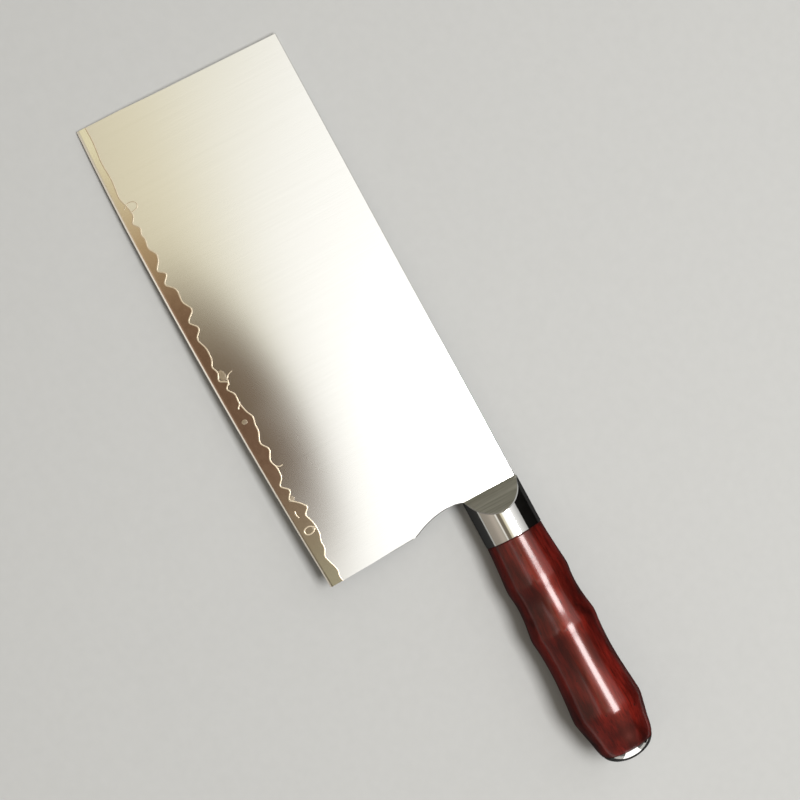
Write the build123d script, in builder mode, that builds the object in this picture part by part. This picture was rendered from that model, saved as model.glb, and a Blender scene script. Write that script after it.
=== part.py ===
"""Chinese cleaver: three-layer blade, steel bolster and a handle turned like a bamboo cane.

Millimetres. The knife lies on its right side with the blade level: +X runs towards the
handle, +Y towards the spine and +Z up, out of the blade's left side. The origin is under
the middle of the whole knife, level with the underside of the handle's swell.
"""

from build123d import *

import os
from math import asin, cos, degrees, radians, sqrt, tan

# How far a cutting shape runs past what it cuts
overrun = 5.0

# Blade seen from its side
spine_length = 194.0
edge_drop = 86.6                # spine down to the lowest point of the cutting edge
tip_lean = 1.5                  # the tip's edge corner stands this far in front of its spine corner
belly_place = 55.0              # tip's edge corner back to the lowest point of the edge
tip_rise = 1.2                  # the edge's rise from its lowest point to the tip
heel_rise = 3.85                # and to the heel
heel_overhang = 4.2             # heel corner behind the bolster's front face
shoulder_overhang = 3.1         # top of the straight heel side, behind the same face
shoulder_drop = 44.6            # and below the spine
shoulder_round = 7.0
notch_depth = 1.0               # finger notch, in front of the bolster's front face
notch_drop = 28.4               # its deepest point, below the spine

# Blade section
blade_thickness = 2.6
core_thickness = 0.6
grind_height = 40.0             # where the convex grind runs out into the flat, above the edge
bevel_height = 1.0
bevel_thickness = 0.5           # the blade's thickness at the top of the bevel
edge_break = 0.3                # eased corners along spine, tip and heel

# Wavy lower border of the cladding: place along the edge, height as a share of the highest wave
clad_line_height = 8.5
wave_round_share = 0.3          # how much of the shorter run the round of a wave takes
clad_line_shares = (
    (-0.025, 0.40), (0.033, 0.47), (0.075, 0.38), (0.113, 0.46), (0.152, 0.36), (0.175, 0.54),
    (0.193, 0.59), (0.206, 0.35), (0.219, 0.61), (0.232, 0.49), (0.242, 0.56), (0.262, 0.47),
    (0.279, 0.71), (0.292, 0.61), (0.308, 0.31), (0.320, 0.71), (0.337, 0.31), (0.355, 0.74),
    (0.383, 0.66), (0.404, 0.94), (0.423, 0.43), (0.441, 0.81), (0.459, 0.42), (0.483, 0.61),
    (0.506, 0.58), (0.520, 0.40), (0.534, 0.53), (0.550, 0.34), (0.560, 0.76), (0.570, 0.47),
    (0.586, 0.73), (0.604, 0.67), (0.625, 0.76), (0.640, 0.92), (0.656, 0.81), (0.669, 0.81),
    (0.692, 0.56), (0.710, 0.85), (0.730, 0.56), (0.748, 0.70), (0.769, 0.66), (0.783, 0.34),
    (0.798, 0.72), (0.814, 0.39), (0.829, 0.78), (0.842, 1.00), (0.853, 0.69), (0.875, 0.84),
    (0.897, 0.84), (0.913, 0.69), (0.927, 0.69), (0.942, 0.47), (0.976, 0.68), (0.990, 0.58),
    (1.010, 0.68),
)

# Stub tang: a wide root in the bolster's slot and a narrow tongue in the rod's fork
tang_thickness = 2.4            # ground a little thinner, so that the blade seats on its shoulders
tang_root_height = 12.0
tang_root_length = 9.0
tang_tongue_height = 5.0
tang_tongue_length = 8.0

# Bolster
bolster_radius = 11.8
bolster_length = 20.2
axis_drop = 11.1                # the handle's axis below the spine
rim_round = 0.7                 # front rim of the round head
nose_height = 2.0               # half the head's thickness at its front face
nose_bevel_length = 1.2
nose_bevel_height = 4.4         # half the thickness behind the narrow front bevel
moon_length = 9.4               # the half-moon flat runs out on the round this far back
moon_break = 0.25               # broken edge round the half-moon
joint_break = 0.25              # tiny bevels on both sides of the joint with the grip

# Rod through the grip
fork_radius = 4.5
rod_radius = 3.0
rod_end_past_nut = 1.5
rod_end_break = 0.6
fit_clearance = 0.1             # round pieces in their bores
wood_clearance = 0.25           # the grip's bore round the rod

# Turned grip
grip_length = 92.4
swell_place = 75.0              # front end back to the widest node
swell_radius = 14.4
swell_land = 2.0                # length of the widest node's crest
grip_front_step = 0.1           # the wood's front end below the bolster's round
cap_radius = 10.4               # where wood and cap meet
# Corners of the cane before the swell: place over swell_place, rise over the front radius as a share
cane_shares = ((0.25, 0.50), (0.345, 0.18), (0.53, 0.84), (0.72, 0.40))
# Behind the swell: place over the tail's length, rise over the cap's radius as a share
tail_shares = ((0.78, 0.33), (0.90, 0.225))
cane_round_share = 0.45         # how much of the shorter run the round of a corner takes

# Washer, nut and cap in the counterbore of the grip's rear end
counterbore_radius = 8.0
counterbore_depth = 11.0
washer_radius = 7.0
washer_thickness = 1.5
nut_across_flats = 10.0
nut_height = 5.0
nut_corner_break = 0.45         # length of the turned-down corners at both ends
cap_height = 4.9
cap_wall = 1.2                  # spigot wall
cap_spigot_length = 4.0
cap_hollow = 1.5                # how far the spigot's bore goes on into the dome
crown_share = 0.67              # radius of the dome's crown over the cap's
crown_depth = 1.6

# Places in the knife's frame
overall_length = tip_lean + spine_length + bolster_length + grip_length + cap_height
overall_width = edge_drop - axis_drop + swell_radius
tip_edge_x = -overall_length / 2
tip_spine_x = tip_edge_x + tip_lean
front_x = tip_spine_x + spine_length
heel_x = front_x + heel_overhang
belly_x = tip_edge_x + belly_place
fork_x = front_x + tang_root_length
tang_end_x = fork_x + tang_tongue_length
grip_x = front_x + bolster_length
seam_x = grip_x + grip_length
washer_x = seam_x - counterbore_depth
nut_x = washer_x + washer_thickness
rod_end_x = nut_x + nut_height + rod_end_past_nut
belly_y = -overall_width / 2
spine_y = belly_y + edge_drop
axis_y = spine_y - axis_drop
mid_z = swell_radius
handle_axis = Axis((0, axis_y, mid_z), (1, 0, 0))


def cross_plane(x):
    """Plane square to the handle's axis, drawn with Y across and Z up."""
    return Plane((x, axis_y, mid_z), x_dir=(0, 1, 0), z_dir=(1, 0, 0))


def axis_plane(x):
    """Plane along the handle's axis for turned profiles: distance behind x, then radius."""
    return Plane((x, axis_y, mid_z))


def corner_radii(points, share):
    """Radii that round the corners of an outline: each takes this share of its shorter run."""
    radii = []
    for before, corner, after in zip(points, points[1:], points[2:]):
        run_in = Vector(corner) - Vector(before)
        run_out = Vector(after) - Vector(corner)
        turn = radians(run_in.get_angle(run_out))
        radii.append(share * min(run_in.length, run_out.length) / tan(turn / 2))
    return radii


# The cutting edge is two arcs that meet level at the belly
def arc_radius(run, rise):
    """Radius of an arc that starts level and rises by rise over run."""
    return (run**2 + rise**2) / (2 * rise)


tip_arc_radius = arc_radius(belly_place, tip_rise)
heel_arc_radius = arc_radius(heel_x - belly_x, heel_rise)


def edge_y(x):
    """Height of the cutting edge in plan."""
    radius = tip_arc_radius if x < belly_x else heel_arc_radius
    return belly_y + radius - sqrt(radius**2 - (x - belly_x) ** 2)


def past_edge(upper, corner):
    """The end of a blade side that is drawn on below its corner."""
    share = 1 + overrun / (upper[1] - corner[1])
    return (upper[0] + share * (corner[0] - upper[0]), upper[1] + share * (corner[1] - upper[1]))


# Blade outline in plan, drawn on below the cutting edge
tip_spine = (tip_spine_x, spine_y)
tip_edge = (tip_edge_x, belly_y + tip_rise)
heel_edge = (heel_x, belly_y + heel_rise)
heel_shoulder = (front_x + shoulder_overhang, spine_y - shoulder_drop)
notch_bottom = (front_x - notch_depth, spine_y - notch_drop)
bolster_underside = (front_x, axis_y - bolster_radius)

with BuildSketch(Plane.XY.offset(mid_z)) as plate_outline:
    with BuildLine():
        Polyline(
            past_edge(heel_shoulder, heel_edge),
            past_edge(tip_spine, tip_edge),
            tip_spine,
            (front_x, spine_y),
            bolster_underside,
        )
        TangentArc(notch_bottom, bolster_underside, tangent=(0, 1))
        TangentArc(notch_bottom, heel_shoulder, tangent=(0, -1))
        Line(heel_shoulder, past_edge(heel_shoulder, heel_edge))
    make_face()
    fillet(plate_outline.vertices().sort_by_distance((*heel_shoulder, mid_z))[0], shoulder_round)

with BuildSketch(Plane((front_x, axis_y, mid_z))) as tang_outline:
    Rectangle(tang_root_length, tang_root_height, align=(Align.MIN, Align.CENTER))
    Rectangle(
        tang_root_length + tang_tongue_length, tang_tongue_height, align=(Align.MIN, Align.CENTER)
    )

# Section of the blade at its belly: bevel, convex grind and flat, on both sides
with BuildSketch(Plane((belly_x, 0, mid_z), x_dir=(0, 1, 0), z_dir=(1, 0, 0))) as blade_section:
    with BuildLine():
        apex = (belly_y, 0)
        bevel_top = (belly_y + bevel_height, bevel_thickness / 2)
        grind_top = (belly_y + grind_height, blade_thickness / 2)
        flat_top = (spine_y + overrun, blade_thickness / 2)
        Line(apex, bevel_top)
        TangentArc(grind_top, bevel_top, tangent=(-1, 0))
        Polyline(grind_top, flat_top, (spine_y + overrun, 0), apex)
    make_face()
    mirror(about=Plane.XZ)

# Flat plate with eased corners, but for the side that meets the bolster, and the tang
with BuildPart() as plate:
    extrude(plate_outline.sketch, amount=blade_thickness / 2, both=True)
    rims = plate.faces().filter_by(Axis.Z).edges()
    bolster_side = rims.sort_by_distance((front_x, axis_y, mid_z))[:2]
    chamfer(rims - bolster_side, edge_break)
    extrude(tang_outline.sketch, amount=tang_thickness / 2, both=True)

# Whole blade before it is parted into its layers: the section follows both arcs of the edge
with BuildPart() as blade:
    for radius, run, side in (
        (tip_arc_radius, belly_place, -1),
        (heel_arc_radius, tang_end_x - belly_x, 1),
    ):
        revolve(
            blade_section.sketch,
            axis=Axis((belly_x, belly_y + radius, 0), (0, 0, side)),
            revolution_arc=degrees(asin((run + overrun) / (radius - edge_drop))),
        )
    add(plate.part, mode=Mode.INTERSECT)


def clad_line(shares):
    """Points of a clad line over the edge, from tip to heel."""
    points = []
    for place, height in shares:
        x = tip_edge_x + place * (heel_x - tip_edge_x)
        points.append((x, edge_y(x) + height * clad_line_height))
    return points


def cladding_region(shares, z):
    """Plan of one cladding layer: all that lies above its clad line, the tang included."""
    line = clad_line(shares)
    with BuildSketch(Plane.XY.offset(z)) as region:
        with BuildLine():
            FilletPolyline(*line, radius=corner_radii(line, wave_round_share))
            Polyline(
                line[-1],
                (tang_end_x + overrun, line[-1][1]),
                (tang_end_x + overrun, spine_y + overrun),
                (line[0][0], spine_y + overrun),
                line[0],
            )
        make_face()
    return region.sketch


# The hidden side's line runs the other way, as no two sides of such a blade are alike
right_line_shares = tuple((1 - place, height) for place, height in reversed(clad_line_shares))
left_region = cladding_region(clad_line_shares, mid_z + core_thickness / 2)
right_region = cladding_region(right_line_shares, mid_z - core_thickness / 2)

with BuildPart() as cladding_left:
    add(blade.part)
    extrude(left_region, amount=blade_thickness, mode=Mode.INTERSECT)
cladding_left.part.label = "cladding_left"

with BuildPart() as cladding_right:
    add(blade.part)
    extrude(right_region, amount=-blade_thickness, mode=Mode.INTERSECT)
cladding_right.part.label = "cladding_right"

with BuildPart() as blade_core:
    add(blade.part)
    extrude(left_region, amount=blade_thickness, mode=Mode.SUBTRACT)
    extrude(right_region, amount=-blade_thickness, mode=Mode.SUBTRACT)
blade_core.part.label = "blade_core"

# Bolster: round head, ground to a half-moon flat on each side, slotted for the tang
moon_slope = (bolster_radius - nose_bevel_height) / (moon_length - nose_bevel_length)
ground_top = bolster_radius + overrun * moon_slope


def ground_off(*outline):
    """What grinding takes off both sides of the head: outline behind its front, above its middle."""
    with BuildSketch(Plane((front_x, axis_y, mid_z), x_dir=(1, 0, 0), z_dir=(0, -1, 0))) as waste:
        with BuildLine():
            Polyline(*outline, close=True)
        make_face()
        mirror(about=Plane.XZ)
    extrude(waste.sketch, amount=ground_top, both=True, mode=Mode.SUBTRACT)


with BuildPart() as bolster:
    with BuildSketch(cross_plane(front_x)):
        Circle(bolster_radius)
    extrude(amount=bolster_length)
    ground_off(
        (-overrun, nose_bevel_height - (nose_bevel_length + overrun) * moon_slope),
        (moon_length + overrun, ground_top),
        (-overrun, ground_top),
    )
    chamfer(bolster.edges().filter_by(GeomType.ELLIPSE), moon_break)
    ground_off(
        (-overrun, nose_height),
        (0, nose_height),
        (nose_bevel_length, nose_bevel_height),
        (nose_bevel_length, ground_top),
        (-overrun, ground_top),
    )
    # Rounded front rim
    with BuildSketch(axis_plane(front_x)):
        with BuildLine():
            RadiusArc((0, bolster_radius - rim_round), (rim_round, bolster_radius), rim_round)
            Polyline(
                (rim_round, bolster_radius),
                (rim_round, bolster_radius + overrun),
                (-overrun, bolster_radius + overrun),
                (-overrun, bolster_radius - rim_round),
                (0, bolster_radius - rim_round),
            )
        make_face()
    revolve(axis=handle_axis, mode=Mode.SUBTRACT)
    # Slot for the tang's root and bore for the rod's forked head
    with BuildSketch(cross_plane(front_x)):
        Rectangle(tang_root_height, tang_thickness)
    extrude(amount=tang_root_length, mode=Mode.SUBTRACT)
    with BuildSketch(cross_plane(fork_x)):
        Circle(fork_radius + fit_clearance)
    extrude(amount=grip_x - fork_x, mode=Mode.SUBTRACT)
    chamfer(bolster.faces().sort_by(Axis.X)[-1].outer_wire().edges(), joint_break)
bolster.part.label = "bolster"

# Rod: its forked head is welded over the tang's tongue, its threaded end takes the nut
with BuildPart() as tang_rod:
    with BuildSketch(cross_plane(fork_x)):
        Circle(fork_radius)
    extrude(amount=grip_x - fork_x)
    with BuildSketch(cross_plane(grip_x)):
        Circle(rod_radius)
    extrude(amount=rod_end_x - grip_x)
    chamfer(tang_rod.faces().sort_by(Axis.X)[-1].edges(), rod_end_break)
    with BuildSketch(cross_plane(fork_x)):
        Rectangle(2 * (fork_radius + overrun), tang_thickness)
    extrude(amount=tang_tongue_length, mode=Mode.SUBTRACT)
tang_rod.part.label = "tang_rod"

# Grip: turned outline through the cane's nodes, bored for the rod and counterbored behind
grip_front_radius = bolster_radius - grip_front_step
tail_length = grip_length - swell_place
grip_outline = [(0, grip_front_radius)]
for place, rise in cane_shares:
    rise_length = rise * (swell_radius - grip_front_radius)
    grip_outline.append((place * swell_place, grip_front_radius + rise_length))
grip_outline.append((swell_place - swell_land / 2, swell_radius))
grip_outline.append((swell_place + swell_land / 2, swell_radius))
for place, rise in tail_shares:
    rise_length = rise * (swell_radius - cap_radius)
    grip_outline.append((swell_place + place * tail_length, cap_radius + rise_length))
grip_outline.append((grip_length, cap_radius))

with BuildPart() as grip:
    with BuildSketch(axis_plane(grip_x)):
        with BuildLine():
            FilletPolyline(*grip_outline, radius=corner_radii(grip_outline, cane_round_share))
            Polyline(
                (grip_length, cap_radius),
                (grip_length, counterbore_radius),
                (grip_length - counterbore_depth, counterbore_radius),
                (grip_length - counterbore_depth, rod_radius + wood_clearance),
                (0, rod_radius + wood_clearance),
                (0, grip_front_radius),
            )
        make_face()
    revolve(axis=handle_axis)
    chamfer(grip.faces().sort_by(Axis.X)[0].outer_wire().edges(), joint_break)
grip.part.label = "grip"

with BuildPart() as washer:
    with BuildSketch(cross_plane(washer_x)):
        Circle(washer_radius)
        Circle(rod_radius + fit_clearance, mode=Mode.SUBTRACT)
    extrude(amount=washer_thickness)
washer.part.label = "washer"

nut_corner_radius = nut_across_flats / 2 / cos(radians(30))

with BuildPart() as nut:
    with BuildSketch(cross_plane(nut_x)):
        RegularPolygon(nut_corner_radius, side_count=6)
        Circle(rod_radius + fit_clearance, mode=Mode.SUBTRACT)
    extrude(amount=nut_height)
    with BuildSketch(axis_plane(nut_x)):
        with BuildLine():
            Polyline(
                (0, 0),
                (0, nut_across_flats / 2),
                (nut_corner_break, nut_corner_radius),
                (nut_height - nut_corner_break, nut_corner_radius),
                (nut_height, nut_across_flats / 2),
                (nut_height, 0),
                close=True,
            )
        make_face()
    revolve(axis=handle_axis, mode=Mode.INTERSECT)
nut.part.label = "nut"

# Cap: a turned dome whose spigot presses into the counterbore, clear round the nut
spigot_radius = counterbore_radius - fit_clearance
crown_edge = (cap_height - crown_depth, crown_share * cap_radius)

with BuildPart() as end_cap:
    with BuildSketch(axis_plane(seam_x)):
        with BuildLine():
            crown = TangentArc((cap_height, 0), crown_edge, tangent=(0, 1))
            TangentArc(crown_edge, (0, cap_radius), tangent=crown % 1)
            Polyline(
                (cap_height, 0),
                (cap_hollow, 0),
                (cap_hollow, spigot_radius - cap_wall),
                (-cap_spigot_length, spigot_radius - cap_wall),
                (-cap_spigot_length, spigot_radius),
                (0, spigot_radius),
                (0, cap_radius),
            )
        make_face()
    revolve(axis=handle_axis)
end_cap.part.label = "end_cap"

os.makedirs("parts", exist_ok=True)
for piece in (
    blade_core, cladding_left, cladding_right, bolster, tang_rod, grip, washer, nut, end_cap,
):
    export_step(piece.part, f"parts/{piece.part.label}.step")
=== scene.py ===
"""Chinese cleaver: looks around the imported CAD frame.

Metres, in the CAD frame: the knife lies on its right side, +X towards the handle, +Y towards
the spine, +Z up out of the left side, origin level with the underside of the grip's swell.
"""

import math

import bmesh
import bpy
from mathutils import Matrix, Vector


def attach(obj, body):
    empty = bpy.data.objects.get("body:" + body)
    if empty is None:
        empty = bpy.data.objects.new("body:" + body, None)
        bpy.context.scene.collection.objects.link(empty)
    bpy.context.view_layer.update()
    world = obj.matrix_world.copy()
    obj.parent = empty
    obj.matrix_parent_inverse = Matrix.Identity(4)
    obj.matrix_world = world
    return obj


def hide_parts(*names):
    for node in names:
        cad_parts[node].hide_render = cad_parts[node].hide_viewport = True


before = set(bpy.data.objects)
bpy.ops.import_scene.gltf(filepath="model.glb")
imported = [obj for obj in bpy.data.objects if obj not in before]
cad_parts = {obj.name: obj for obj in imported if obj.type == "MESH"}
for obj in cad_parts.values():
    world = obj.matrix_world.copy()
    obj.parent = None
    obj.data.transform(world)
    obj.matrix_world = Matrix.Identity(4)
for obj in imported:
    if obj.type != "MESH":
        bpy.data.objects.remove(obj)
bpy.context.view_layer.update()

MM = 0.001

# Places of the knife in the CAD frame
axis_y = 30.55 * MM             # the handle's axis
mid_z = 14.4 * MM               # that axis, and the blade's middle plane
grip_front = 59.2 * MM
tip_x = -156.5 * MM
heel_x = 43.2 * MM
belly_x = -101.5 * MM           # the lowest place of the cutting edge
belly_y = -44.95 * MM
tip_rise = 1.2 * MM             # how far the edge rises from there to the tip
heel_rise = 3.85 * MM
blade_underside_z = 13.1 * MM
rest_x = 48.65 * MM             # where the bolster's underside meets the floor
rest_z = 2.59 * MM
grind_height = 40 * MM          # the grind's top above the edge
grind_curve = 1.37              # tilt of the blade's side in radians per metre below its grind's top
grind_blend = 16 * MM           # how far the buffing reaches above and below the grind's top
broad_slope = 0.9               # a blade face whose normal is steeper than this is a broad side


def linear(hex_colour):
    """An sRGB hex colour as the linear colour that a shader takes."""
    channels = [int(hex_colour[i:i + 2], 16) / 255 for i in (1, 3, 5)]
    return (*[c / 12.92 if c <= 0.04045 else ((c + 0.055) / 1.055) ** 2.4 for c in channels], 1)


def add_node(tree, kind, inputs=None, **settings):
    """Adds a node with its settings. Each input is a value or the output socket that feeds it."""
    node = tree.nodes.new(kind)
    for name, value in settings.items():
        setattr(node, name, value)
    for name, value in (inputs or {}).items():
        if isinstance(value, bpy.types.NodeSocket):
            tree.links.new(value, node.inputs[name])
        else:
            node.inputs[name].default_value = value
    return node


def new_material(name):
    """An empty material with its shader: returns the material, its tree and the shader."""
    material = bpy.data.materials.new(name)
    material.use_nodes = True
    tree = material.node_tree
    return material, tree, tree.nodes["Principled BSDF"]


# Materials
def height_above_edge(tree, place):
    """Socket with the height above the cutting edge in metres, for a point on the blade."""
    x, y = place.outputs["X"], place.outputs["Y"]
    behind = add_node(tree, "ShaderNodeMath", {0: x, 1: belly_x}, operation="SUBTRACT")
    square = add_node(tree, "ShaderNodeMath", {0: behind.outputs[0], 1: 2.0}, operation="POWER")
    is_heel = add_node(
        tree, "ShaderNodeMath", {0: behind.outputs[0], 1: 0.0}, operation="GREATER_THAN"
    )
    curve = add_node(
        tree, "ShaderNodeMapRange",
        {
            "Value": is_heel.outputs[0],
            "To Min": tip_rise / (belly_x - tip_x) ** 2,
            "To Max": heel_rise / (heel_x - belly_x) ** 2,
        },
    )
    rise = add_node(
        tree, "ShaderNodeMath", {0: square.outputs[0], 1: curve.outputs[0]}, operation="MULTIPLY"
    )
    edge = add_node(tree, "ShaderNodeMath", {0: rise.outputs[0], 1: belly_y}, operation="ADD")
    height = add_node(tree, "ShaderNodeMath", {0: y, 1: edge.outputs[0]}, operation="SUBTRACT")
    return height.outputs[0]


def ground_normal(tree, height, coordinates):
    """Socket with the normal of the blade's sides: flat above the grind, then leaning evenly more
    down to the edge, with the change between the two buffed round. Narrow faces keep their own."""
    below = add_node(tree, "ShaderNodeMath", {0: grind_height, 1: height}, operation="SUBTRACT")
    ground = add_node(tree, "ShaderNodeMath", {0: below.outputs[0], 1: 0.0}, operation="MAXIMUM")
    away = add_node(tree, "ShaderNodeMath", {0: below.outputs[0]}, operation="ABSOLUTE")
    # Within the buffed band a parabola joins the level side to the ground one
    near = add_node(
        tree, "ShaderNodeMapRange",
        {"Value": away.outputs[0], "From Min": grind_blend, "From Max": 0.0},
    )
    square = add_node(tree, "ShaderNodeMath", {0: near.outputs[0], 1: 2.0}, operation="POWER")
    run = add_node(
        tree, "ShaderNodeMath",
        {0: square.outputs[0], 1: grind_blend / 4, 2: ground.outputs[0]}, operation="MULTIPLY_ADD",
    )
    lean = add_node(
        tree, "ShaderNodeMath", {0: run.outputs[0], 1: -grind_curve}, operation="MULTIPLY"
    )
    own = coordinates.outputs["Normal"]
    facing = add_node(tree, "ShaderNodeSeparateXYZ", {0: own})
    side = add_node(tree, "ShaderNodeMath", {0: facing.outputs["Z"]}, operation="SIGN")
    leaning = add_node(
        tree, "ShaderNodeCombineXYZ", {"Y": lean.outputs[0], "Z": side.outputs[0]}
    )
    steep = add_node(tree, "ShaderNodeMath", {0: facing.outputs["Z"]}, operation="ABSOLUTE")
    broad = add_node(
        tree, "ShaderNodeMath", {0: steep.outputs[0], 1: broad_slope}, operation="GREATER_THAN"
    )
    normal = add_node(
        tree, "ShaderNodeMix", {0: broad.outputs[0], 4: own, 5: leaning.outputs[0]},
        data_type="VECTOR",
    )
    return normal.outputs[1]


def satin_stainless():
    """Soft stainless cladding, belt-ground across the blade and buffed to a satin: bright, with a soft
    blurred reflection and hair-fine lines from spine to edge. The buffing rounds the start of the
    grind, so the reflection runs over it without a crease."""
    material, tree, shader = new_material("satin_stainless")
    coordinates = add_node(tree, "ShaderNodeTexCoord")
    where = coordinates.outputs["Object"]
    place = add_node(tree, "ShaderNodeSeparateXYZ", {0: where})
    # Belt lines are about 0.1 mm apart; drawn at 0.4 mm so that they show, and 30 mm long
    across = add_node(
        tree, "ShaderNodeMapping",
        {"Vector": where, "Scale": (1 / (0.4 * MM), 1 / (30 * MM), 1 / (30 * MM))},
    )
    lines = add_node(
        tree, "ShaderNodeTexNoise", {"Vector": across.outputs[0], "Scale": 1.0, "Detail": 3.0}
    )
    clouds = add_node(tree, "ShaderNodeTexNoise", {"Vector": where, "Scale": 1 / (35 * MM)})
    colour = add_node(
        tree, "ShaderNodeMix",
        {0: lines.outputs[0], 6: linear("#dad9d5"), 7: linear("#e0dfdc")}, data_type="RGBA",
    )
    roughness = add_node(
        tree, "ShaderNodeMapRange", {"Value": clouds.outputs[0], "To Min": 0.1, "To Max": 0.14}
    )
    bump = add_node(
        tree, "ShaderNodeBump",
        {
            "Height": lines.outputs[0], "Strength": 0.012, "Distance": 0.01 * MM,
            "Normal": ground_normal(tree, height_above_edge(tree, place), coordinates),
        },
    )
    shader.inputs["Metallic"].default_value = 1.0
    tree.links.new(colour.outputs[2], shader.inputs["Base Color"])
    tree.links.new(roughness.outputs[0], shader.inputs["Roughness"])
    tree.links.new(bump.outputs[0], shader.inputs["Normal"])
    return material


def etched_core_steel():
    """High-carbon core steel, etched a dull brown beside the clad line, with the bevel of the cutting
    edge ground bright, and plain grey where it shows between the layers along the spine."""
    material, tree, shader = new_material("etched_core_steel")
    where = add_node(tree, "ShaderNodeTexCoord").outputs["Object"]
    place = add_node(tree, "ShaderNodeSeparateXYZ", {0: where})
    height = height_above_edge(tree, place)
    stain = add_node(
        tree, "ShaderNodeTexNoise", {"Vector": where, "Scale": 1 / (2.5 * MM), "Detail": 4.0}
    )
    etched = add_node(
        tree, "ShaderNodeMix",
        {0: stain.outputs[0], 6: linear("#806552"), 7: linear("#997f6c")}, data_type="RGBA",
    )
    # Towards the tip the colour turns pale, and towards the heel paler and greener
    fading = add_node(
        tree, "ShaderNodeMapRange",
        {"Value": place.outputs["X"], "From Min": -70 * MM, "From Max": -116 * MM},
        interpolation_type="SMOOTHSTEP",
    )
    toward_tip = add_node(
        tree, "ShaderNodeMapRange",
        {"Value": place.outputs["X"], "From Min": -106 * MM, "From Max": -150 * MM},
    )
    toward_heel = add_node(
        tree, "ShaderNodeMapRange",
        {"Value": place.outputs["X"], "From Min": -15 * MM, "From Max": 50 * MM},
        interpolation_type="SMOOTHSTEP",
    )
    olive = add_node(
        tree, "ShaderNodeMix",
        {0: toward_heel.outputs[0], 6: etched.outputs[2], 7: linear("#958f79")}, data_type="RGBA",
    )
    faded = add_node(
        tree, "ShaderNodeMix",
        {0: fading.outputs[0], 6: olive.outputs[2], 7: linear("#bea88c")}, data_type="RGBA",
    )
    strip = add_node(
        tree, "ShaderNodeMix",
        {0: toward_tip.outputs[0], 6: faded.outputs[2], 7: linear("#ecead8")}, data_type="RGBA",
    )
    above = add_node(
        tree, "ShaderNodeMapRange", {"Value": height, "From Min": 10 * MM, "From Max": 12 * MM}
    )
    body = add_node(
        tree, "ShaderNodeMix",
        {0: above.outputs[0], 6: strip.outputs[2], 7: linear("#b9b7b2")}, data_type="RGBA",
    )
    on_bevel = add_node(
        tree, "ShaderNodeMapRange",
        {"Value": height, "From Min": 0.6 * MM, "From Max": 0.5 * MM},
    )
    colour = add_node(
        tree, "ShaderNodeMix",
        {0: on_bevel.outputs[0], 6: body.outputs[2], 7: linear("#f0ebe2")}, data_type="RGBA",
    )
    roughness = add_node(
        tree, "ShaderNodeMapRange", {"Value": on_bevel.outputs[0], "To Min": 0.19, "To Max": 0.25}
    )
    grain = add_node(
        tree, "ShaderNodeTexNoise", {"Vector": where, "Scale": 1 / (0.3 * MM), "Detail": 2.0}
    )
    bump = add_node(
        tree, "ShaderNodeBump",
        {"Height": grain.outputs[0], "Strength": 0.08, "Distance": 0.02 * MM},
    )
    shader.inputs["Metallic"].default_value = 1.0
    tree.links.new(colour.outputs[2], shader.inputs["Base Color"])
    tree.links.new(roughness.outputs[0], shader.inputs["Roughness"])
    tree.links.new(bump.outputs[0], shader.inputs["Normal"])
    return material


def etched_seam():
    """Weld seam between cladding and core, left pale and matt by the etching: a cream-coloured
    hairline that stays light where the polished steel beside it mirrors something dark."""
    material, tree, shader = new_material("etched_seam")
    where = add_node(tree, "ShaderNodeTexCoord").outputs["Object"]
    fleck = add_node(
        tree, "ShaderNodeTexNoise", {"Vector": where, "Scale": 1 / (1.2 * MM), "Detail": 3.0}
    )
    colour = add_node(
        tree, "ShaderNodeMix",
        {0: fleck.outputs[0], 6: linear("#b7a791"), 7: linear("#d3c6b1")}, data_type="RGBA",
    )
    bump = add_node(
        tree, "ShaderNodeBump",
        {"Height": fleck.outputs[0], "Strength": 0.2, "Distance": 0.05 * MM},
    )
    shader.inputs["Metallic"].default_value = 1.0
    shader.inputs["Roughness"].default_value = 0.28
    tree.links.new(colour.outputs[2], shader.inputs["Base Color"])
    tree.links.new(bump.outputs[0], shader.inputs["Normal"])
    return material


def spotted_etching():
    """Half-matt spots that the etching left beside the clad line: a little paler than the polished
    steel round them where that mirrors something dark, and much like it elsewhere."""
    material, tree, shader = new_material("spotted_etching")
    where = add_node(tree, "ShaderNodeTexCoord").outputs["Object"]
    fleck = add_node(
        tree, "ShaderNodeTexNoise", {"Vector": where, "Scale": 1 / (1.5 * MM), "Detail": 3.0}
    )
    colour = add_node(
        tree, "ShaderNodeMix",
        {0: fleck.outputs[0], 6: linear("#b5a794"), 7: linear("#cfc3b1")}, data_type="RGBA",
    )
    shader.inputs["Metallic"].default_value = 1.0
    shader.inputs["Roughness"].default_value = 0.19
    tree.links.new(colour.outputs[2], shader.inputs["Base Color"])
    return material


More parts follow.
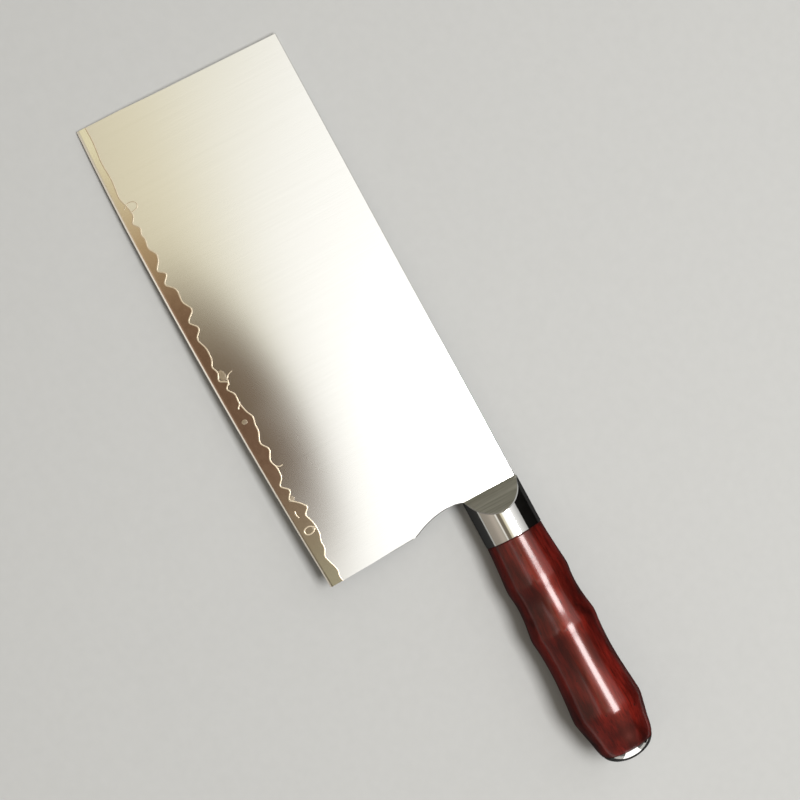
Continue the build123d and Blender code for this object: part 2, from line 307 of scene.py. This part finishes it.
def polished_steel():
    """Polished stainless steel: a clean mirror on the round surfaces, while the half-moon flats keep
    the straight lines of the belt that ground them, are satin, and carry painted shade: a darker,
    greener grey than the round surfaces."""
    material, tree, shader = new_material("polished_steel")
    coordinates = add_node(tree, "ShaderNodeTexCoord")
    where = coordinates.outputs["Object"]
    facing = add_node(tree, "ShaderNodeSeparateXYZ", {0: coordinates.outputs["Normal"]})
    # Of the faces in view, only the ground flats lean towards the blade
    on_flat = add_node(
        tree, "ShaderNodeMapRange",
        {"Value": facing.outputs["X"], "From Min": -0.5, "From Max": -0.6},
    )
    # Belt lines along the width of the head, about 0.1 mm apart; drawn at 0.8 mm so that they show
    along = add_node(
        tree, "ShaderNodeMapping",
        {"Vector": where, "Scale": (1 / (0.8 * MM), 1 / (25 * MM), 1 / (0.8 * MM))},
    )
    lines = add_node(
        tree, "ShaderNodeTexNoise", {"Vector": along.outputs[0], "Scale": 1.0, "Detail": 4.0}
    )
    contrast = add_node(
        tree, "ShaderNodeMapRange",
        {"Value": lines.outputs[0], "From Min": 0.28, "From Max": 0.72},
    )
    # Painted shade: the flats take a darker, greener grey than the mirror, with the belt lines running
    # between its two tones
    ground = add_node(
        tree, "ShaderNodeMix",
        {0: contrast.outputs[0], 6: linear("#9a988a"), 7: linear("#cfcec3")}, data_type="RGBA",
    )
    colour = add_node(
        tree, "ShaderNodeMix",
        {0: on_flat.outputs[0], 6: linear("#dddcd9"), 7: ground.outputs[2]}, data_type="RGBA",
    )
    wear = add_node(tree, "ShaderNodeTexNoise", {"Vector": where, "Scale": 1 / (6 * MM)})
    mirror = add_node(
        tree, "ShaderNodeMapRange", {"Value": wear.outputs[0], "To Min": 0.04, "To Max": 0.09}
    )
    roughness = add_node(
        tree, "ShaderNodeMix", {0: on_flat.outputs[0], 2: mirror.outputs[0], 3: 0.3}
    )
    depth = add_node(
        tree, "ShaderNodeMath", {0: on_flat.outputs[0], 1: lines.outputs[0]}, operation="MULTIPLY"
    )
    bump = add_node(
        tree, "ShaderNodeBump",
        {"Height": depth.outputs[0], "Strength": 0.25, "Distance": 0.03 * MM},
    )
    shader.inputs["Metallic"].default_value = 1.0
    tree.links.new(colour.outputs[2], shader.inputs["Base Color"])
    tree.links.new(roughness.outputs[0], shader.inputs["Roughness"])
    tree.links.new(bump.outputs[0], shader.inputs["Normal"])
    return material


def turned_steel():
    """Plain turned steel of the rod, washer and nut inside the handle: grey, with fine tool rings."""
    material, tree, shader = new_material("turned_steel")
    where = add_node(tree, "ShaderNodeTexCoord").outputs["Object"]
    # Tool marks about 0.2 mm apart along the axis
    rings = add_node(
        tree, "ShaderNodeTexWave",
        {"Vector": where, "Scale": 1 / (0.2 * MM) / (2 * math.pi), "Distortion": 0.5},
        bands_direction="X",
    )
    colour = add_node(
        tree, "ShaderNodeMix",
        {0: rings.outputs["Fac"], 6: linear("#9d9c99"), 7: linear("#b4b3b0")}, data_type="RGBA",
    )
    bump = add_node(
        tree, "ShaderNodeBump",
        {"Height": rings.outputs["Fac"], "Strength": 0.3, "Distance": 0.02 * MM},
    )
    shader.inputs["Metallic"].default_value = 1.0
    shader.inputs["Roughness"].default_value = 0.35
    tree.links.new(colour.outputs[2], shader.inputs["Base Color"])
    tree.links.new(bump.outputs[0], shader.inputs["Normal"])
    return material


def lacquered_rosewood():
    """Rosewood stained deep red under a glossy lacquer: cloudy light and dark figure, fine fibres along
    the handle, a few open pores, and a long clear highlight."""
    material, tree, shader = new_material("lacquered_rosewood")
    where = add_node(tree, "ShaderNodeTexCoord").outputs["Object"]
    # Cloudy figure: patches about 7 mm across and 20 mm long
    figure_place = add_node(
        tree, "ShaderNodeMapping",
        {"Vector": where, "Scale": (1 / (20 * MM), 1 / (7 * MM), 1 / (7 * MM))},
    )
    figure = add_node(
        tree, "ShaderNodeTexNoise",
        {"Vector": figure_place.outputs[0], "Scale": 1.0, "Detail": 4.0, "Distortion": 0.3},
    )
    # Fibres and vessels about 0.6 mm wide and 12 mm long
    fibre_place = add_node(
        tree, "ShaderNodeMapping",
        {
            "Vector": where, "Rotation": (0, 0, math.radians(4)),
            "Scale": (1 / (12 * MM), 1 / (0.6 * MM), 1 / (0.6 * MM)),
        },
    )
    fibres = add_node(
        tree, "ShaderNodeTexNoise",
        {"Vector": fibre_place.outputs[0], "Scale": 1.0, "Detail": 3.0, "Distortion": 0.4},
    )
    # Open pores: specks about 0.7 mm wide, a few over the whole grip
    pore_place = add_node(
        tree, "ShaderNodeMapping",
        {"Vector": where, "Scale": (1 / (2.5 * MM), 1 / (1.2 * MM), 1 / (1.2 * MM))},
    )
    specks = add_node(
        tree, "ShaderNodeTexNoise", {"Vector": pore_place.outputs[0], "Scale": 1.0, "Detail": 1.0}
    )
    pores = add_node(
        tree, "ShaderNodeMapRange",
        {"Value": specks.outputs[0], "From Min": 0.72, "From Max": 0.77},
    )
    light = add_node(
        tree, "ShaderNodeMapRange",
        {"Value": figure.outputs[0], "From Min": 0.35, "From Max": 0.65},
    )
    clouded = add_node(
        tree, "ShaderNodeMix",
        {0: light.outputs[0], 6: linear("#290605"), 7: linear("#6b1710")}, data_type="RGBA",
    )
    fine = add_node(
        tree, "ShaderNodeMapRange",
        {"Value": fibres.outputs[0], "From Min": 0.15, "From Max": 0.6},
    )
    streaked = add_node(
        tree, "ShaderNodeMix",
        {0: fine.outputs[0], 6: linear("#210504"), 7: clouded.outputs[2]}, data_type="RGBA",
    )
    colour = add_node(
        tree, "ShaderNodeMix",
        {0: pores.outputs[0], 6: streaked.outputs[2], 7: linear("#140504")}, data_type="RGBA",
    )
    sunk = add_node(
        tree, "ShaderNodeMath", {0: pores.outputs[0], 1: -1.0}, operation="MULTIPLY"
    )
    bump = add_node(
        tree, "ShaderNodeBump",
        {"Height": sunk.outputs[0], "Strength": 0.6, "Distance": 0.1 * MM},
    )
    # The filled grain under the lacquer shines softly in its own red
    shader.inputs["Roughness"].default_value = 0.42
    shader.inputs["IOR"].default_value = 1.5
    shader.inputs["Specular IOR Level"].default_value = 0.5
    shader.inputs["Specular Tint"].default_value = linear("#ff6a48")
    shader.inputs["Coat Weight"].default_value = 1.0
    shader.inputs["Coat Roughness"].default_value = 0.17
    shader.inputs["Coat IOR"].default_value = 1.5
    tree.links.new(colour.outputs[2], shader.inputs["Base Color"])
    tree.links.new(bump.outputs[0], shader.inputs["Normal"])
    return material


def black_card():
    """Black card: matt, so that steel and lacquer beside it mirror a plain dark shape."""
    material, _, shader = new_material("black_card")
    shader.inputs["Base Color"].default_value = linear("#151515")
    shader.inputs["Roughness"].default_value = 0.9
    return material


def lit_white_card():
    """White card that gives an even light: a plain bright shape in the mirror of the cap."""
    material, _, shader = new_material("lit_white_card")
    shader.inputs["Emission Color"].default_value = (1, 1, 1, 1)
    shader.inputs["Emission Strength"].default_value = 1.3
    return material


def studio_floor_paper():
    """Pale grey background paper: quite matt, with the faint unevenness of uncoated paper."""
    material, tree, shader = new_material("studio_floor_paper")
    where = add_node(tree, "ShaderNodeTexCoord").outputs["Object"]
    fibre = add_node(tree, "ShaderNodeTexNoise", {"Vector": where, "Scale": 1 / (4 * MM)})
    colour = add_node(
        tree, "ShaderNodeMix",
        {0: fibre.outputs[0], 6: linear("#b4b4b2"), 7: linear("#b9b9b7")}, data_type="RGBA",
    )
    shader.inputs["Roughness"].default_value = 0.9
    tree.links.new(colour.outputs[2], shader.inputs["Base Color"])
    return material


# Modelling
def start_piece(name):
    """Names the primitive that was just added and opens it for editing, all selected."""
    piece = bpy.context.object
    piece.name = name
    piece.data.name = name
    bpy.ops.object.mode_set(mode="EDIT")
    return piece


def place_piece(piece, material):
    """Applies the piece's place to its mesh, gives it its finish and lets it ride on the knife."""
    bpy.ops.object.select_all(action="DESELECT")
    piece.select_set(True)
    bpy.context.view_layer.objects.active = piece
    bpy.ops.object.transform_apply(location=True, rotation=True, scale=True)
    piece.data.materials.clear()
    piece.data.materials.append(material)
    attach(piece, "root")


# Turned outline of the grip, front to rear: distance behind its front, then radius, in mm
grip_rings = (
    (0.0, 11.25), (0.0, 11.4), (0.25, 11.7), (0.4, 11.72), (2.5, 11.8), (5.0, 11.95), (9.6, 12.26),
    (14.3, 12.68), (17.6, 13.0), (19.2, 13.06), (21.2, 12.85), (23.5, 12.5), (27.0, 12.33),
    (32.8, 12.72), (37.4, 13.5), (39.4, 13.8), (41.2, 13.72), (44.3, 13.3), (49.0, 13.0),
    (55.9, 12.9), (62.9, 13.3), (69.8, 13.9), (74.4, 14.4), (76.4, 14.3), (79.1, 13.7),
    (81.4, 13.2), (83.7, 12.65), (86.0, 12.15), (88.4, 11.8), (90.7, 11.2), (91.9, 10.62),
    (92.2, 10.42), (92.4, 10.2), (92.4, 10.0),
)
# On through the counterbore and the bore, back to the front
bore_rings = (
    (92.4, 8.2), (92.4, 8.0), (92.2, 8.0), (81.6, 8.0), (81.4, 8.0), (81.4, 7.8), (81.4, 3.45),
    (81.4, 3.25), (81.2, 3.25), (0.2, 3.25), (0.0, 3.25), (0.0, 3.45),
)
ring_corners = 48


def turn_rings(rings):
    """Turns a closed outline: each ring is extruded from the last one and brought to its radius."""
    x, radius = rings[0]
    bpy.ops.mesh.primitive_circle_add(
        vertices=ring_corners, radius=radius * MM, fill_type="NOTHING",
        location=(grip_front + x * MM, axis_y, mid_z), rotation=(0, math.pi / 2, 0),
    )
    piece = start_piece("turned_grip")
    for next_x, next_radius in (*rings[1:], rings[0]):
        bpy.ops.mesh.extrude_region_move(
            TRANSFORM_OT_translate={"value": ((next_x - x) * MM, 0, 0)}
        )
        share = next_radius / radius
        bpy.ops.transform.resize(
            value=(1, share, share), center_override=(grip_front + next_x * MM, axis_y, mid_z)
        )
        x, radius = next_x, next_radius
    bpy.ops.mesh.select_all(action="SELECT")
    bpy.ops.mesh.remove_doubles(threshold=0.001 * MM)
    bpy.ops.mesh.normals_make_consistent(inside=False)
    bpy.ops.object.mode_set(mode="OBJECT")
    return piece


def turned_grip(material):
    """Grip turned like a bamboo cane, with raised nodes and a swell before the cap."""
    piece = turn_rings((*grip_rings, *bore_rings))
    bpy.ops.object.modifier_add(type="SUBSURF")
    piece.modifiers[-1].levels = 2
    piece.modifiers[-1].render_levels = 2
    bpy.ops.object.modifier_apply(modifier=piece.modifiers[-1].name)
    bpy.ops.object.shade_smooth_by_angle(angle=math.radians(40))
    place_piece(piece, material)
    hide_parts("grip")


# The seam between cladding and core
seam_half_width = 0.26 * MM
seam_flatness = 0.08            # height of the seam's bead over its width
seam_reach = 12 * MM            # the clad line lies lower than this above the belly
seam_end_gap = 0.4 * MM         # the seam stops this far inside the blade's ends
wall_slope = 0.3                # a cladding face whose normal is less steep than this is a side wall
spot_flatness = 0.015           # height of a spot above the blade in millimetres
ray_start = 0.1                 # distance from the middle plane where a ray starts, in metres
end_margin = 0.8 * MM           # heights at the eased ends are read this far inside them


def surface_z(x, y, side):
    """Height of the blade's left (side 1) or right (side -1) surface at a place in plan."""
    heights = []
    for name in ("cladding_left" if side > 0 else "cladding_right", "blade_core"):
        start = Vector((x, y, mid_z + side * ray_start))
        hit, where, _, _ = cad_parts[name].ray_cast(start, Vector((0, 0, -side)))
        if hit:
            heights.append(where.z * side)
    return max(heights) * side if heights else None


def lay_on_blade(piece, side):
    """Brings a flat bead down on the blade's surface, corner by corner, level past its eased ends."""
    last = mid_z
    for corner in piece.data.vertices:
        x = min(max(corner.co.x, tip_x + end_margin), heel_x - end_margin)
        height = surface_z(x, corner.co.y, side)
        last = last if height is None else height
        corner.co.z += last
    piece.data.update()


def bead_from_lines(side, half_width):
    """Turns the lines of the active piece into a flat round-edged bead on the blade."""
    bpy.ops.object.mode_set(mode="EDIT")
    bpy.ops.mesh.select_all(action="SELECT")
    bpy.ops.transform.resize(value=(1, 1, 0), center_override=(0, 0, 0))
    bpy.ops.object.mode_set(mode="OBJECT")
    bpy.ops.object.convert(target="CURVE")
    piece = bpy.context.object
    piece.data.bevel_depth = half_width
    piece.data.bevel_resolution = 2
    piece.data.use_fill_caps = True
    bpy.ops.object.convert(target="MESH")
    bpy.ops.object.mode_set(mode="EDIT")
    bpy.ops.mesh.select_all(action="SELECT")
    bpy.ops.transform.resize(value=(1, 1, seam_flatness), center_override=(0, 0, 0))
    bpy.ops.mesh.remove_doubles(threshold=0.001 * MM)
    bpy.ops.mesh.normals_make_consistent(inside=False)
    bpy.ops.object.mode_set(mode="OBJECT")
    bpy.ops.object.shade_smooth_by_angle(angle=math.radians(60))
    lay_on_blade(piece, side)
    return piece


def clad_seam(node, side, material):
    """Seam along the whole clad line, taken from the lower border of the CAD cladding."""
    bpy.ops.object.select_all(action="DESELECT")
    piece = bpy.data.objects.new(f"seam_{node}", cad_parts[node].data.copy())
    bpy.context.scene.collection.objects.link(piece)
    piece.select_set(True)
    bpy.context.view_layer.objects.active = piece
    bpy.ops.object.mode_set(mode="EDIT")
    bpy.ops.mesh.select_all(action="SELECT")
    bpy.ops.mesh.remove_doubles(threshold=0.001 * MM)
    bpy.ops.mesh.select_all(action="DESELECT")
    bpy.ops.mesh.select_mode(type="EDGE")
    mesh = bmesh.from_edit_mesh(piece.data)
    for edge in mesh.edges:
        middle = (edge.verts[0].co + edge.verts[1].co) / 2
        slopes = [face.normal.z * side for face in edge.link_faces]
        on_border = len(slopes) == 2 and min(slopes) < wall_slope and max(slopes) > broad_slope
        low = middle.y < belly_y + seam_reach
        inside = tip_x + seam_end_gap < middle.x < heel_x - seam_end_gap
        if not (on_border and low and inside):
            edge.select_set(True)
    bmesh.update_edit_mesh(piece.data)
    bpy.ops.mesh.delete(type="EDGE")
    bpy.ops.object.mode_set(mode="OBJECT")
    piece = bead_from_lines(side, seam_half_width)
    place_piece(piece, material)


# Loops and strands of the seam besides its line: half width, then the points along each, as
# millimetres from the tip's edge corner and above the edge
seam_strands = (
    ("loop", 0.27, ((176.4, 6.6), (175.2, 5.6), (175.0, 3.9), (175.6, 2.5), (176.6, 2.1), (177.7, 2.6),
                    (178.1, 3.9), (177.7, 5.6), (176.6, 6.6))),
    ("tail", 0.26, ((120.4, 6.0), (121.4, 5.6), (122.0, 4.8), (122.7, 4.3))),
    ("spike", 0.22, ((148.8, 6.0), (149.5, 6.8), (149.6, 7.6), (149.4, 8.4))),
    ("fragment", 0.26, ((167.4, 3.2), (168.6, 2.9), (169.6, 3.0), (170.5, 3.4))),
    ("splash", 0.16, ((108.6, 9.6), (108.9, 8.2), (109.6, 6.9), (111.2, 6.2), (112.9, 5.9))),
    ("swirl", 0.18, ((34.8, 3.0), (33.6, 4.0), (33.1, 6.0), (33.9, 8.0), (35.6, 8.4), (36.9, 6.9),
                     (36.9, 4.8))),
)
# Paler spots beside it: place along and above the edge, then the half length and half height
seam_spots = (
    ("dot", 128.2, 3.95, 0.95, 1.15),
    ("pool", 108.6, 5.4, 2.3, 1.3),
    ("leg", 162.6, 4.5, 1.2, 1.3),
    ("saddle", 176.5, 6.0, 1.0, 0.5),
)


def edge_y(x):
    """Place of the cutting edge in plan: shallow arcs, drawn as parabolas."""
    if x < belly_x:
        return belly_y + tip_rise * ((x - belly_x) / (belly_x - tip_x)) ** 2
    return belly_y + heel_rise * ((x - belly_x) / (heel_x - belly_x)) ** 2


def edge_place(along, height, side):
    """Place in plan of a point on the blade; the right side's marks run from the heel instead."""
    x = tip_x + along * MM if side > 0 else heel_x - along * MM
    return Vector((x, edge_y(x) + height * MM, 0))


def seam_strand(name, half_width, points, side, material):
    """One loop or strand: a point drawn out along its line, smoothed and laid on the blade."""
    spots = [edge_place(along, height, side) for along, height in points]
    bpy.ops.mesh.primitive_plane_add(size=MM, location=spots[0])
    start_piece(f"seam_{name}_{'left' if side > 0 else 'right'}")
    bpy.ops.mesh.select_mode(type="VERT")
    bpy.ops.mesh.merge(type="CENTER")
    for before, after in zip(spots, spots[1:]):
        bpy.ops.mesh.extrude_region_move(TRANSFORM_OT_translate={"value": after - before})
    bpy.ops.object.mode_set(mode="OBJECT")
    bpy.ops.object.transform_apply(location=True, rotation=True, scale=True)
    bpy.ops.object.convert(target="CURVE")
    bpy.ops.object.mode_set(mode="EDIT")
    bpy.ops.curve.select_all(action="SELECT")
    bpy.ops.curve.spline_type_set(type="NURBS")
    bpy.ops.object.mode_set(mode="OBJECT")
    spline = bpy.context.object.data.splines[0]
    spline.order_u = 3
    spline.use_endpoint_u = True
    bpy.ops.object.convert(target="MESH")
    piece = bead_from_lines(side, half_width * MM)
    place_piece(piece, material)


def seam_spot(name, along, height, half_length, half_height, side, material):
    """One paler spot: a round disc as flat as the seam, laid on the blade."""
    bpy.ops.mesh.primitive_uv_sphere_add(
        segments=24, ring_count=12, radius=MM, location=edge_place(along, height, side)
    )
    piece = bpy.context.object
    piece.name = f"seam_{name}_{'left' if side > 0 else 'right'}"
    piece.data.name = piece.name
    piece.scale = (half_length, half_height, spot_flatness)
    bpy.ops.object.transform_apply(location=True, rotation=True, scale=True)
    bpy.ops.object.shade_smooth()
    lay_on_blade(piece, side)
    place_piece(piece, material)


# Light, floor and camera
floor_pitch = math.atan2(blade_underside_z - rest_z, rest_x - tip_x)


def stage_floor(material):
    """Pale floor, pitched so that the knife rests on it with its tip and its bolster."""
    bpy.ops.mesh.primitive_plane_add(
        size=12, location=(rest_x, 0, rest_z), rotation=(0, floor_pitch, 0)
    )
    floor = bpy.context.object
    floor.name = "floor"
    bpy.ops.object.transform_apply(location=True, rotation=True, scale=True)
    floor.data.materials.append(material)


# Towards the spine, turned 30 degrees to the handle
panel_axis = Vector((0.5, 0.866, 0))
# Light of the ceiling panel by how far a direction leans along that axis, as a sine: cream on the
# cutting edge's side, white towards the spine
panel_across = (
    (-1.0, (0.2, 0.18, 0.15)), (-0.74, (0.27, 0.24, 0.2)), (-0.6, (0.46, 0.4, 0.34)),
    (-0.45, (0.32, 0.3, 0.25)), (-0.3, (0.5, 0.46, 0.36)), (-0.2, (0.66, 0.6, 0.44)),
    (-0.12, (0.67, 0.62, 0.465)), (-0.05, (0.77, 0.75, 0.65)), (-0.018, (0.86, 0.855, 0.82)),
    (0.013, (0.92, 0.915, 0.895)), (0.06, (1.0, 1.0, 0.99)), (0.45, (1.0, 1.0, 0.99)),
    (0.85, (0.12, 0.12, 0.115)),
)
# Share of the panel by how far a direction leans towards the handle: it ends above the grip
panel_along = (
    (-1.0, (0.22, 0.22, 0.22)), (-0.5, (0.22, 0.22, 0.22)), (-0.28, (1.0, 1.0, 1.0)),
    (0.1, (1.0, 1.0, 1.0)), (0.15, (0.35, 0.35, 0.35)), (0.25, (0.1, 0.1, 0.1)),
    (0.5, (0.0, 0.0, 0.0)),
)
# The room past the panel, and the strength of all of it
room_dim = (0.12, 0.118, 0.113, 1)
room_strength = 1.5
# Round patches of the room: direction in plan, half angle, width of its soft rim, then colour.
# A low white one lights the bevel of the cutting edge, a high one the grind near the heel, and
# two dark ones show in the grind and the bolster
room_patches = (
    ((-0.02, -0.48), 8.0, 3.0, (1.0, 0.98, 0.94, 1)),
    ((0.10, -0.06), 4.0, 3.0, (1.0, 1.0, 0.98, 1)),
    ((-0.031, -0.112), 4.8, 2.0, (0.08, 0.042, 0.014, 1)),
    ((0.09, -0.40), 7.0, 3.0, (0.14, 0.12, 0.09, 1)),
)


def lean_ramp(tree, direction, axis, stops):
    """Colour by the sine of a direction's lean along a level axis, from a list of stops."""
    lean = add_node(
        tree, "ShaderNodeVectorMath", {0: direction, 1: axis}, operation="DOT_PRODUCT"
    )
    share = add_node(
        tree, "ShaderNodeMapRange", {"Value": lean.outputs["Value"], "From Min": -1.0}
    )
    ramp = add_node(tree, "ShaderNodeValToRGB", {0: share.outputs[0]})
    ramp.color_ramp.interpolation = "B_SPLINE"
    for number, (sine, colour) in enumerate(stops):
        place = (1 + sine) / 2
        stop = ramp.color_ramp.elements[number] if number < 2 else ramp.color_ramp.elements.new(place)
        stop.position = place
        stop.color = (*colour, 1)
    return ramp.outputs[0]


def studio_world():
    """A dim plain room under a wide ceiling panel, with a few soft patches for mirrors to show."""
    world = bpy.data.worlds.new("studio")
    bpy.context.scene.world = world
    world.use_nodes = True
    tree = world.node_tree
    direction = add_node(tree, "ShaderNodeTexCoord").outputs["Generated"]
    panel = lean_ramp(tree, direction, panel_axis, panel_across)
    share = lean_ramp(tree, direction, Vector((1, 0, 0)), panel_along)
    seen = add_node(
        tree, "ShaderNodeMix", {0: share, 6: room_dim, 7: panel}, data_type="RGBA"
    ).outputs[2]
    for (x, y), half_angle, rim, colour in room_patches:
        centre = Vector((x, y, math.sqrt(1 - x * x - y * y)))
        toward = add_node(
            tree, "ShaderNodeVectorMath", {0: direction, 1: centre}, operation="DOT_PRODUCT"
        )
        patch = add_node(
            tree, "ShaderNodeMapRange",
            {
                "Value": toward.outputs["Value"],
                "From Min": math.cos(math.radians(half_angle + rim)),
                "From Max": math.cos(math.radians(half_angle - rim)),
            },
            interpolation_type="SMOOTHSTEP",
        )
        seen = add_node(
            tree, "ShaderNodeMix", {0: patch.outputs[0], 6: seen, 7: colour}, data_type="RGBA"
        ).outputs[2]
    background = tree.nodes["Background"]
    background.inputs["Strength"].default_value = room_strength
    tree.links.new(seen, background.inputs["Color"])


def studio_lamp():
    """Long softbox over the spine side of the handle: it draws the highlight and the shadow."""
    target = Vector((0.1, 0.03, 0.025))
    place = Vector((0.30, 0.335, 1.17))
    bpy.ops.object.light_add(type="AREA")
    lamp = bpy.context.object
    lamp.name = "softbox"
    # Its long side runs along the knife
    away = (place - target).normalized()
    across = away.cross(Vector((1, 0, 0))).normalized()
    along = across.cross(away)
    lamp.matrix_world = Matrix.Translation(place) @ Matrix((along, across, away)).transposed().to_4x4()
    lamp.data.shape = "RECTANGLE"
    lamp.data.size = 0.62
    lamp.data.size_y = 0.36
    lamp.data.energy = 14.0


def add_card(name, place, turn, length, breadth, material):
    """One card of the set, seen only in the mirror of steel and lacquer."""
    bpy.ops.mesh.primitive_plane_add(size=1, location=place, rotation=turn)
    card = bpy.context.object
    card.name = name
    card.scale = (length, breadth, 1)
    bpy.ops.object.transform_apply(location=True, rotation=True, scale=True)
    card.data.materials.append(material)
    card.visible_camera = False
    card.visible_diffuse = False
    card.visible_shadow = False


# Black cards: one stands beside the handle on the spine's side, the other lies under it
card_length = 180 * MM
card_width = 200 * MM
card_height = 50 * MM
card_away = 42 * MM             # from the handle's axis to the standing card
card_lift = 0.1 * MM            # of the lying card above the floor
card_middle_x = heel_x + card_length / 2 - 20 * MM
# White card past the cap
white_place = Vector((190 * MM, axis_y, 20 * MM))
white_height = 40 * MM
white_breadth = 30 * MM


def handle_cards():
    """Black cards under the handle and beside it, and a white one that stands past the cap."""
    black = black_card()
    floor_z = rest_z + (rest_x - card_middle_x) * math.tan(floor_pitch)
    add_card(
        "black_card_standing", (card_middle_x, axis_y + card_away, card_height / 2),
        (math.pi / 2, 0, 0), card_length, card_height, black,
    )
    add_card(
        "black_card_lying", (card_middle_x, axis_y + card_away - card_width / 2, floor_z + card_lift),
        (0, floor_pitch, 0), card_length, card_width, black,
    )
    add_card(
        "white_card_standing", white_place, (0, math.pi / 2, 0), white_height, white_breadth,
        lit_white_card(),
    )


def studio_camera():
    """Camera of the photograph: almost straight above, a little to the cutting edge's side."""
    tilt = math.radians(4.2)
    distance = 650 * MM
    aim = Vector((-7.4 * MM, 16.55 * MM, 14.4 * MM))
    forward = Vector((0, math.sin(tilt), -math.cos(tilt)))
    across = Vector((0, math.cos(tilt), math.sin(tilt)))
    # The blade's direction in the picture, right and down
    run_right, run_down = 0.4759, 0.8795
    right = Vector((run_right, 0, 0)) + run_down * across
    up = Vector((-run_down, 0, 0)) + run_right * across
    bpy.ops.object.camera_add()
    camera = bpy.context.object
    turn = Matrix((right, up, -forward)).transposed().to_4x4()
    camera.matrix_world = Matrix.Translation(aim - distance * forward) @ turn
    camera.data.angle = math.radians(26.7)
    bpy.context.scene.camera = camera


bpy.ops.object.select_all(action="DESELECT")
cladding_finish = satin_stainless()
core_finish = etched_core_steel()
seam_finish = etched_seam()
spot_finish = spotted_etching()
mirror_finish = polished_steel()
plain_finish = turned_steel()
wood_finish = lacquered_rosewood()

for node, finish in (
    ("blade_core", core_finish),
    ("cladding_left", cladding_finish),
    ("cladding_right", cladding_finish),
    ("bolster", mirror_finish),
    ("end_cap", mirror_finish),
    ("tang_rod", plain_finish),
    ("washer", plain_finish),
    ("nut", plain_finish),
):
    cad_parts[node].material_slots[0].material = finish

turned_grip(wood_finish)
clad_seam("cladding_left", 1, seam_finish)
clad_seam("cladding_right", -1, seam_finish)
for side in (1, -1):
    for name, half_width, points in seam_strands:
        seam_strand(name, half_width, points, side, seam_finish)
    for name, along, height, half_length, half_height in seam_spots:
        seam_spot(name, along, height, half_length, half_height, side, spot_finish)

stage_floor(studio_floor_paper())
studio_world()
studio_lamp()
handle_cards()
studio_camera()
bpy.context.scene.view_settings.view_transform = "Standard"
